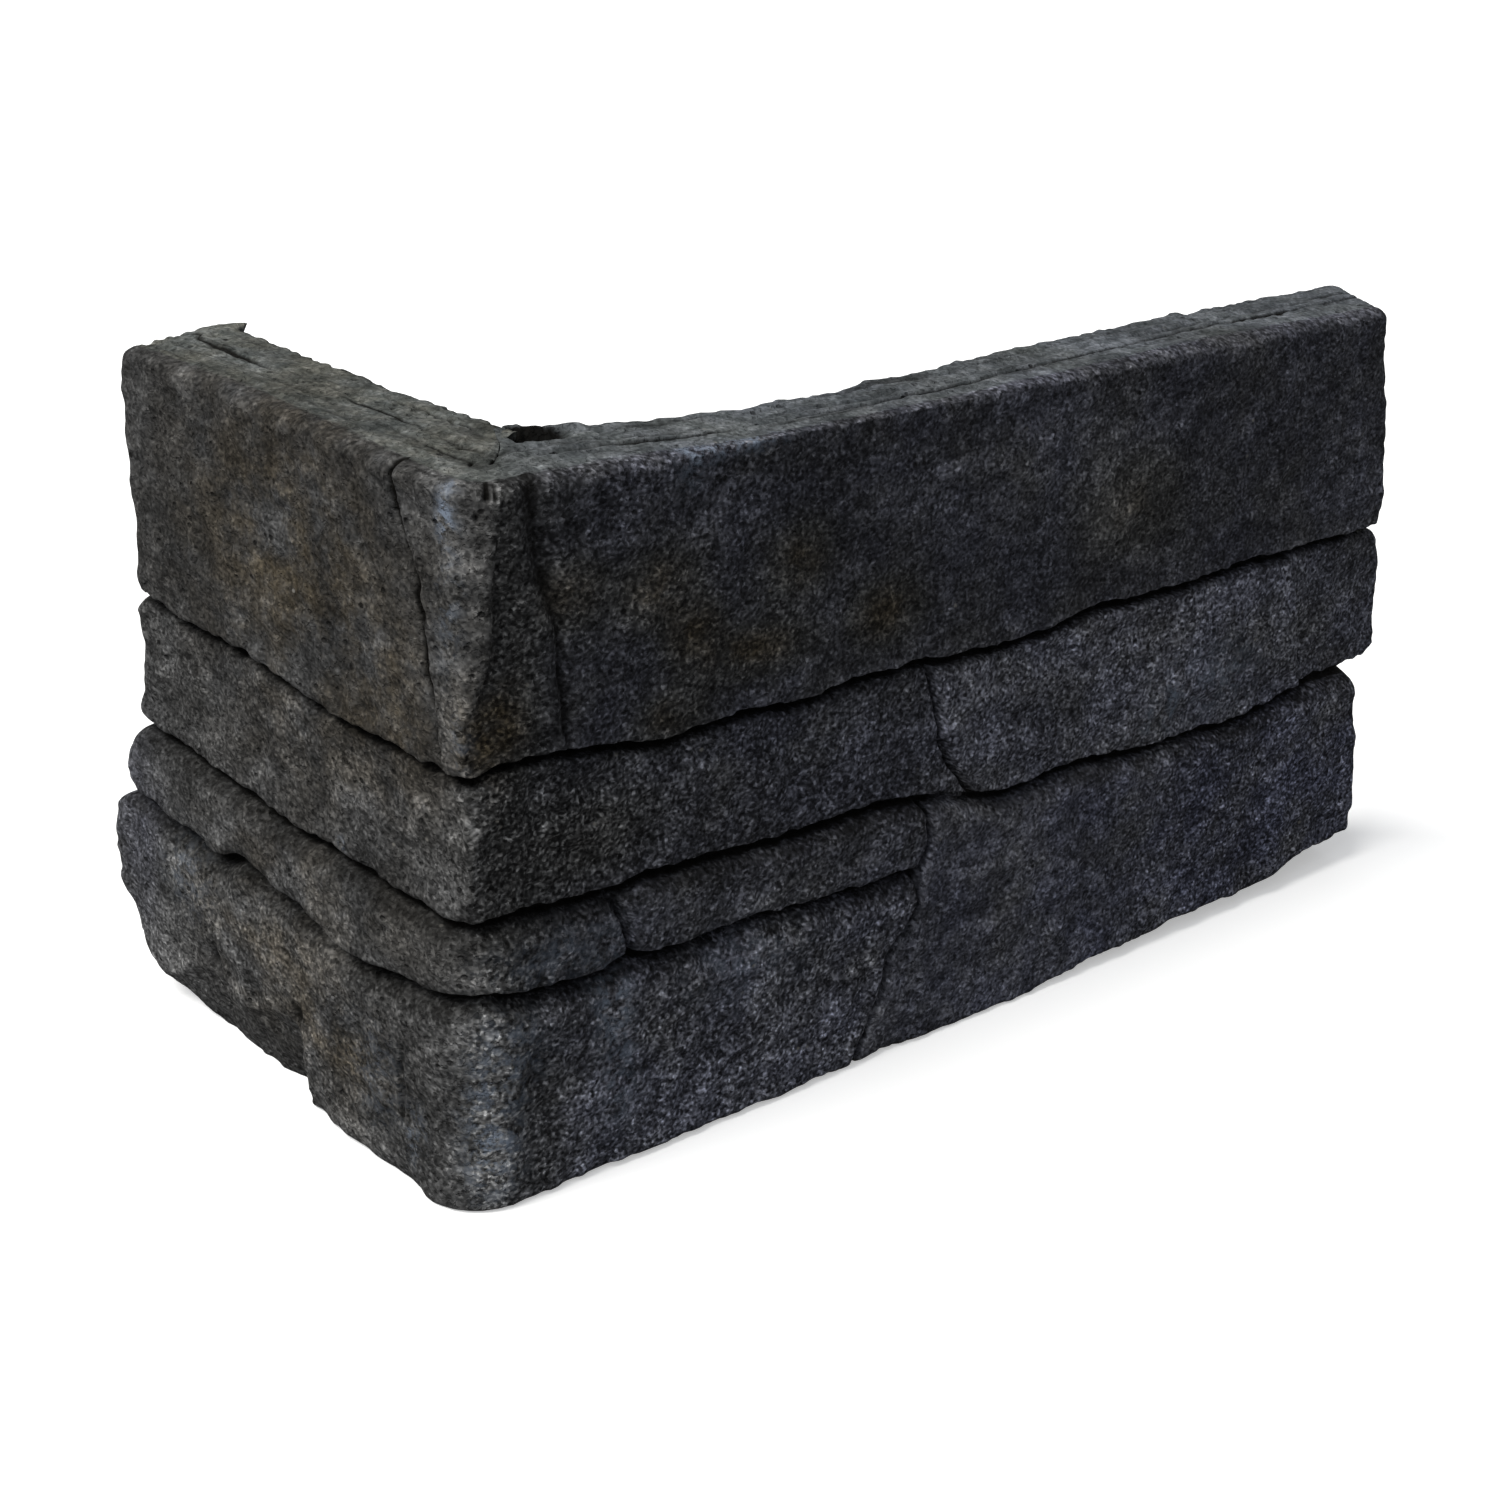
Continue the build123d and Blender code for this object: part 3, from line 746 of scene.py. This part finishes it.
# Pale: painted light on the pillar up to its ridge, where it faces the lamp, a painted highlight
# along the ridge, a paler lower corner, and wear on what stands furthest out
on_pillar = step(along, -11, -6) * (1 - step(along, ridge_line, ridge_line + 0.9))
corner = np.where(up > 91, on_pillar, 0.4 * bump(along, -2, 5)) * (0.75 + 0.25 * noise(spot, 6.0, 68))
corner = corner + 0.6 * bump(along, ridge_line - 0.4, 0.8) * (up > 93) * (up < 122)
wear_and_painted_light = step(height, 0.6, 2.6) * 0.25 + 0.5 * corner
masks = {"soil_and_painted_shade": mask(soil_and_painted_shade, top_soil_and_painted_shade),
         "wear_and_painted_light": mask(wear_and_painted_light, 0.5, 0.3),
         "struck": mask(0 * joint, 1.0),
         "bloom": mask(bloom, 0.0),
         "tone_and_painted_light": mask(tone_and_painted_light, 0.97 - 0.04 * step(inner, -10, 20), 0.9),
         "contrast": mask(contrast, 0.36, 0.9),
         "tint": mask(tint, 0.34 + 0.28 * step(inner, -20, 30), 0.5)}
print("masks:", {name: (values.min().round(2), values.max().round(2)) for name, values in masks.items()})


# %% Mesh
def closed_tube(name, tube, values):
    """A mesh from points (column, row, xyz) in mm: quads between neighbours, round and along, and
    one flat face at each end. Points move from the outer corner to the frame's origin, in metres."""
    count, ring = tube.shape[:2]
    inside = np.clip(tube, (-PROUD, -PROUD, CLEAR), (LONG - END_CLEAR, SHORT - END_CLEAR, HEIGHT - CLEAR))
    points = (inside - np.array([THICK, THICK, 0])).reshape(-1, 3) / 1000
    number = np.arange(count * ring).reshape(count, ring)
    a, b = number[:-1], np.roll(number, -1, 1)[:-1]
    c, d = np.roll(number, -1, 1)[1:], number[1:]
    quads = np.stack([a, b, c, d], -1).reshape(-1, 4)
    faces = [*quads.tolist(), number[0][::-1].tolist(), number[-1].tolist()]
    mesh = bpy.data.meshes.new(name)
    mesh.from_pydata(points, [], faces)
    for key, value in values.items():
        mesh.attributes.new(key, "FLOAT", "POINT").data.foreach_set("value", value.astype(np.float32))
    mesh.shade_smooth()
    piece = bpy.data.objects.new(name, mesh)
    bpy.context.scene.collection.objects.link(piece)
    return piece


piece = closed_tube("cast_corner", tube, masks)
solid = bmesh.new()
solid.from_mesh(piece.data)
volume = solid.calc_volume(signed=True)
print("volume, cm3:", round(volume * 1e6, 1), "faces:", len(solid.faces))
if volume < 0:     # the faces look inwards, so they are turned round
    bmesh.ops.reverse_faces(solid, faces=solid.faces)
    solid.to_mesh(piece.data)
solid.free()

# %% [markdown]
# ## Fewer triangles
# The grid is even, but the stone isn't: flat parts need fewer triangles than the joints. The
# Decimate modifier merges points where the surface loses least, so the detail stays where the
# shape changes. Its result is kept as the mesh.

# %% Decimate
TRIANGLE_AIM = 192000     # Decimate ends within a few hundred of it
triangles = 2 * len(piece.data.polygons)
thin = piece.modifiers.new("fewer", "DECIMATE")
thin.ratio = TRIANGLE_AIM / triangles
bpy.context.view_layer.update()
kept = bpy.data.meshes.new_from_object(piece.evaluated_get(bpy.context.evaluated_depsgraph_get()))
piece.modifiers.clear()
piece.data = kept
kept.name = "cast_corner"
kept.calc_loop_triangles()
check = bmesh.new()
check.from_mesh(kept)
open_edges = sum(not edge.is_manifold for edge in check.edges)
print("from", triangles, "to", len(kept.loop_triangles), "triangles,", open_edges, "open edges,",
      round(check.calc_volume(signed=True) * 1e6, 1), "cm3")
check.free()

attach(piece, "root")
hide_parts("cladding_corner")

# %% [markdown]
# ## Wet-cast concrete, pigmented charcoal
# The stone is fine sand and cement with black iron oxide, set against rubber. So it is matt, with
# sand grains of about a millimetre in several greys, pinholes, brown and bluish clouds where the
# pigment settled unevenly, and a white bloom of lime in places. Joints hold painted shade and
# soil, worn corners and the floated top are paler, and painted light makes the corner pillar
# paler too.

# %% Colours and a node helper
def paint(code):
    """A hex colour, which is sRGB, as the linear colour that shaders use."""
    parts = [int(code[i:i + 2], 16) / 255 for i in (1, 3, 5)]
    return (*[p / 12.92 if p <= 0.04045 else ((p + 0.055) / 1.055) ** 2.4 for p in parts], 1.0)


def per_metre(millimetres):
    """Texture scale for a pattern of this size on Object coordinates, which are in metres."""
    return 1000.0 / millimetres


def node(tree, kind, settings, output=0):
    """Adds a node and gives back one of its outputs. A setting is an option of the node, or one of
    its inputs by name or number, which takes a number, a colour or another node's output."""
    made = tree.nodes.new(kind)
    for key, value in settings.items():
        if isinstance(key, str) and key not in made.inputs:
            setattr(made, key, value)
        elif isinstance(value, bpy.types.NodeSocket):
            tree.links.new(value, made.inputs[key])
        else:
            made.inputs[key].default_value = value
    return made.outputs[output]


print("charcoal in linear:", [round(v, 3) for v in paint("#3c3b3a")])

# %% Patterns of the cast concrete
stone = bpy.data.materials.new("wet_cast_charcoal_concrete")
stone.use_nodes = True
tree = stone.node_tree
shader = tree.nodes["Principled BSDF"]
place_in_metres = node(tree, "ShaderNodeTexCoord", {}, "Object")
space = node(tree, "ShaderNodeVectorMath", {"operation": "MULTIPLY", 0: place_in_metres, 1: BEDDING})

# Clouds of noise: the size of a blotch in mm, how many finer layers it has, and their strength
CLOUDS = {"grit": (0.78, 0.0, 0.6),         # sand grains and the pores between them
          "pits": (1.35, 1.0, 0.8),         # broken-out grains, dark and sharp
          "crusts": (1.5, 1.0, 0.8),        # grains that stand out and catch the light
          "bloom": (3.4, 4.0, 0.75),
          "lumps": (6.5, 4.0, 0.85),        # crusts of finer paste
          "gather": (11.0, 2.0, 0.6),       # where specks and pinholes gather
          "brown": (14.0, 5.0, 0.7),
          "blue": (20.0, 4.0, 0.65),
          "blotch": (24.0, 3.0, 0.75)}      # uneven pigment
cloud = {name: node(tree, "ShaderNodeTexNoise",
                    {"Vector": space, "Scale": per_metre(size), "Detail": detail, "Roughness": rough}, "Fac")
         for name, (size, detail, rough) in CLOUDS.items()}

# Grains, each of its own grey. Space is bent by up to half a millimetre, for uneven outlines
shift = node(tree, "ShaderNodeTexNoise", {"Vector": space, "Scale": per_metre(2.6), "Detail": 2.0}, "Color")
bent = node(tree, "ShaderNodeVectorMath", {"operation": "MULTIPLY_ADD", 0: shift, 1: (0.0005, 0.0005, 0.0005),
                                           2: space})
grains = node(tree, "ShaderNodeTexVoronoi", {"Vector": bent, "Scale": per_metre(0.7)}, "Color")
rounds = node(tree, "ShaderNodeTexVoronoi", {"Vector": bent, "Scale": per_metre(1.3)}, "Distance")
specks = node(tree, "ShaderNodeTexVoronoi", {"Vector": space, "Scale": per_metre(5.5)}, "Distance")
pinholes = node(tree, "ShaderNodeTexVoronoi", {"Vector": space, "Scale": per_metre(3.2)}, "Distance")
stored = {name: node(tree, "ShaderNodeAttribute", {"attribute_name": name}, "Fac") for name in masks}
print("patterns:", len(cloud) + 4, "masks:", len(stored))

# %% [markdown]
# ### How much of each pattern shows
# A Map Range node stretches a pattern: below one value it gives the first amount, past another
# the second, and a straight slope between them. A narrow range gives a sharp edge.

# %% Amounts
RANGES = {"browner": (stored["tint"], 0.5, 0.0, 0.0, 1.0),
          "brown": (cloud["brown"], 0.38, 0.6, 0.0, 1.0),
          "bluer": (stored["tint"], 0.5, 1.0, 0.0, 1.0),
          "blue": (cloud["blue"], 0.34, 0.6, 0.3, 1.0),
          "paste": (cloud["lumps"], 0.42, 0.58, 0.3, 0.8),
          "pits": (cloud["pits"], 0.43, 0.4, 0.0, 1.0),
          "crusts": (cloud["crusts"], 0.58, 0.62, 0.0, 1.0),
          "bloom": (cloud["bloom"], 0.45, 0.6, 0.0, 0.85),
          "specks": (specks, 0.1, 0.05, 0.0, 0.75),
          "speckled": (cloud["gather"], 0.56, 0.64, 0.0, 1.0),
          "pinholes": (pinholes, 0.22, 0.12, 0.0, 1.0),
          "porous": (cloud["gather"], 0.56, 0.46, 0.0, 1.0),
          "open": (cloud["blotch"], 0.4, 0.6, 0.3, 0.85),
          "soil_and_painted_shade": (stored["soil_and_painted_shade"], 0.12, 0.7, 0.0, 0.97),
          "roughness": (cloud["grit"], 0.35, 0.65, 0.98, 0.84)}
amount = {name: node(tree, "ShaderNodeMapRange", {"Value": source, "From Min": low, "From Max": high,
                                                  "To Min": start, "To Max": end})
          for name, (source, low, high, start, end) in RANGES.items()}

# Sums of patterns, each with what its 0 and its 1 add: light and dark grains, light and dark
# clouds, and dents. The darkening by the pits is painted shade in them.
SUMS = {"fine": ((cloud["grit"], -1.1, 1.1), (grains, -0.8, 0.8), (amount["pits"], 0.0, -0.55),
                 (amount["crusts"], 0.0, 0.12)),
        "wide": ((cloud["lumps"], -1.6, 1.6), (cloud["blotch"], -1.1, 1.1)),
        "dents": ((amount["pits"], 0.0, 1.0), (amount["crusts"], 0.0, -0.7))}
total = dict.fromkeys(SUMS, 0.0)
for name, parts in SUMS.items():
    for source, start, end in parts:
        part = node(tree, "ShaderNodeMapRange", {"Value": source, "To Min": start, "To Max": end})
        total[name] = node(tree, "ShaderNodeMath", {"operation": "ADD", 0: total[name], 1: part})
print("amounts:", len(amount), "sums:", len(total))

# %% [markdown]
# ### Layers of colour
# The plain charcoal comes first, then the floated grey, the worn grey with painted light on the
# corner pillar, and the brown and blue of the pigment. All that is made lighter and darker by the
# grains, and by each stone's tone with its painted light. Bloom, specks, pinholes, and soil with
# painted shade lie on top. The sand breaks their edges up, because bloom and wear catch on grains
# and never end in a clean line.

# %% Layers
BROWN = (1.2, 0.98, 0.66, 1)     # linear factors on the colour below
BLUE = (0.9, 0.97, 1.55, 1)


def layers(colour, overs):
    """Colours over a colour. Each has its blend type and two amounts, whose product is what shows."""
    for blend, over, first, second in overs:
        shows = node(tree, "ShaderNodeMath", {"operation": "MULTIPLY", 0: first, 1: second})
        colour = node(tree, "ShaderNodeMix", {"data_type": "RGBA", "blend_type": blend, "Factor": shows,
                                              6: colour, 7: over}, 2)
    return colour


# The pale grey over the wear mask is wear, and also painted light on the corner pillar and its ridge
colour = layers(paint("#424242"), [("MIX", paint("#535856"), stored["struck"], 0.9),
                                   ("MIX", paint("#686868"), stored["wear_and_painted_light"], amount["paste"]),
                                   ("MULTIPLY", BROWN, amount["browner"], amount["brown"]),
                                   ("MULTIPLY", BLUE, amount["bluer"], amount["blue"])])
# Light and dark as a power of e, so that a pale grain gains the share that a dark one loses
light = node(tree, "ShaderNodeMath", {"operation": "MULTIPLY_ADD", 0: total["fine"], 1: stored["contrast"],
                                      2: total["wide"]})
light = node(tree, "ShaderNodeMath", {"operation": "EXPONENT", 0: light})
light = node(tree, "ShaderNodeMath", {"operation": "MULTIPLY", 0: light, 1: stored["tone_and_painted_light"]})
colour = node(tree, "ShaderNodeVectorMath", {"operation": "SCALE", 0: colour, "Scale": light})
pores = node(tree, "ShaderNodeMath", {"operation": "MULTIPLY", 0: amount["pinholes"], 1: amount["porous"]})
# The near-black last layer is soil in the joints, and painted shade below them and in cracks, creases, holes
# and hollows
colour = layers(colour, [("MIX", paint("#8590a0"), stored["bloom"], amount["bloom"]),
                         ("MIX", paint("#8f8c86"), amount["specks"], amount["speckled"]),
                         ("MIX", paint("#0f0f0f"), pores, amount["open"]),
                         ("MIX", paint("#0d0c0a"), amount["soil_and_painted_shade"], 1.0)])
tree.links.new(colour, shader.inputs["Base Color"])
print("colour has", len(tree.nodes), "nodes")

# %% Matt and dented
# Matt everywhere, and a trace less so where the sand is polished
tree.links.new(amount["roughness"], shader.inputs["Roughness"])
shader.inputs["Specular IOR Level"].default_value = 0.05
shader.inputs["IOR"].default_value = 1.5

# Depths in metres: pits and standing grains, the rounding of the grains, and the pinholes
normal = node(tree, "ShaderNodeBump", {"invert": True, "Strength": 1.0, "Distance": 0.0002,
                                       "Height": total["dents"]})
for dents, strength, depth in ((rounds, 1.0, 0.0001), (pores, 0.8, 0.0006)):
    normal = node(tree, "ShaderNodeBump", {"invert": True, "Strength": strength, "Distance": depth,
                                           "Height": dents, "Normal": normal})
tree.links.new(normal, shader.inputs["Normal"])
piece.data.materials.clear()
piece.data.materials.append(stone)
print("concrete has", len(tree.nodes), "nodes")

# %% [markdown]
# ## Camera
# The camera stands left of the corner, above the piece, and looks down at it by 19 degrees, so
# that the top shows. The photograph was cropped a little low, which a small lens shift repeats.

# %% Camera
YAW, PITCH, ROLL = 0.7255, 0.335, -0.0385      # radians: from +y towards +x, down, and the frame's tilt
CAMERA_AT = (-0.27936, -0.38783, 0.28464)
FOCAL = 62.45                                  # mm, on a sensor 36 mm wide

forward = np.array([math.sin(YAW) * math.cos(PITCH), math.cos(YAW) * math.cos(PITCH), -math.sin(PITCH)])
right = np.cross(forward, (0, 0, 1))
right /= np.linalg.norm(right)
down = np.cross(forward, right)
across = math.cos(ROLL) * right + math.sin(ROLL) * down
below_axis = -math.sin(ROLL) * right + math.cos(ROLL) * down
facing = Matrix(np.stack([across, -below_axis, -forward], 1).tolist()).to_4x4()
camera = bpy.data.objects.new("camera", bpy.data.cameras.new("camera"))
camera.data.lens = FOCAL
camera.data.sensor_width = 36
camera.data.shift_y = -0.10
camera.matrix_world = Matrix.Translation(CAMERA_AT) @ facing
bpy.context.scene.collection.objects.link(camera)
bpy.context.scene.camera = camera
print("camera looks along", forward.round(3))

# %% [markdown]
# ## Floor and light
# The piece stands on a white studio floor. The camera sees the floor as white, while the light
# that the floor throws back on the stone is that of a mid grey, so the faces keep their shade.
# A broad soft lamp comes from above on the left, as in the photograph, and the sky fills in.

# %% Floor
def seen_directly(tree):
    """1 for rays from the camera, from mirrors and through glass, and 0 for light between surfaces."""
    seen = 0.0
    for ray in ("Is Camera Ray", "Is Glossy Ray", "Is Transmission Ray"):
        ray_kind = node(tree, "ShaderNodeLightPath", {}, ray)
        seen = node(tree, "ShaderNodeMath", {"operation": "MAXIMUM", 0: seen, 1: ray_kind})
    return seen


HALF = 8.0     # metres from the middle of the floor to its sides
floor_mesh = bpy.data.meshes.new("floor")
floor_mesh.from_pydata([(-HALF, -HALF, 0), (HALF, -HALF, 0), (HALF, HALF, 0), (-HALF, HALF, 0)], [],
                       [(0, 1, 2, 3)])
floor = bpy.data.objects.new("floor", floor_mesh)
bpy.context.scene.collection.objects.link(floor)
floor_finish = bpy.data.materials.new("white_painted_floor")
floor_finish.use_nodes = True
floor_tree = floor_finish.node_tree
floor_shader = floor_tree.nodes["Principled BSDF"]
seen = seen_directly(floor_tree)
floor_tree.links.new(node(floor_tree, "ShaderNodeMix", {"data_type": "RGBA", "Factor": seen,
                                                        6: paint("#606060"), 7: paint("#ffffff")}, 2),
                     floor_shader.inputs["Base Color"])
floor_shader.inputs["Emission Color"].default_value = (1, 1, 1, 1)
floor_tree.links.new(node(floor_tree, "ShaderNodeMath", {"operation": "MULTIPLY", 0: seen, 1: 0.4}),
                     floor_shader.inputs["Emission Strength"])
floor_shader.inputs["Roughness"].default_value = 1.0
floor_shader.inputs["Specular IOR Level"].default_value = 0.0
floor_mesh.materials.append(floor_finish)
print("floor is", 2 * HALF, "m wide")

# %% Lights
def lamp(name, azimuth, elevation, strength, softness, colour):
    """A distant lamp in the direction azimuth (degrees from -y towards -x) and elevation."""
    data = bpy.data.lights.new(name, "SUN")
    data.energy = strength
    data.angle = math.radians(softness)
    data.color = colour
    made = bpy.data.objects.new(name, data)
    made.rotation_euler = (math.radians(90 - elevation), 0, math.radians(-azimuth))
    bpy.context.scene.collection.objects.link(made)
    return made


lamp("key", azimuth=98, elevation=58, strength=3.0, softness=36, colour=(1.0, 0.985, 0.955))
lamp("side", azimuth=62, elevation=35, strength=0.4, softness=20, colour=(0.95, 0.98, 1.0))
world = bpy.data.worlds.new("studio")
bpy.context.scene.world = world
world.use_nodes = True
sky = world.node_tree.nodes["Background"]
seen = seen_directly(world.node_tree)
# A faintly cool sky that gives the stone a fifth of the light with which the camera sees it
world.node_tree.links.new(node(world.node_tree, "ShaderNodeMapRange",
                               {"Value": seen, "To Min": 0.19, "To Max": 1.0}), sky.inputs["Strength"])
world.node_tree.links.new(node(world.node_tree, "ShaderNodeMix",
                               {"data_type": "RGBA", "Factor": seen, 6: (0.93, 0.97, 1.04, 1),
                                7: (1, 1, 1, 1)}, 2), sky.inputs["Color"])
bpy.context.scene.view_settings.view_transform = "Standard"
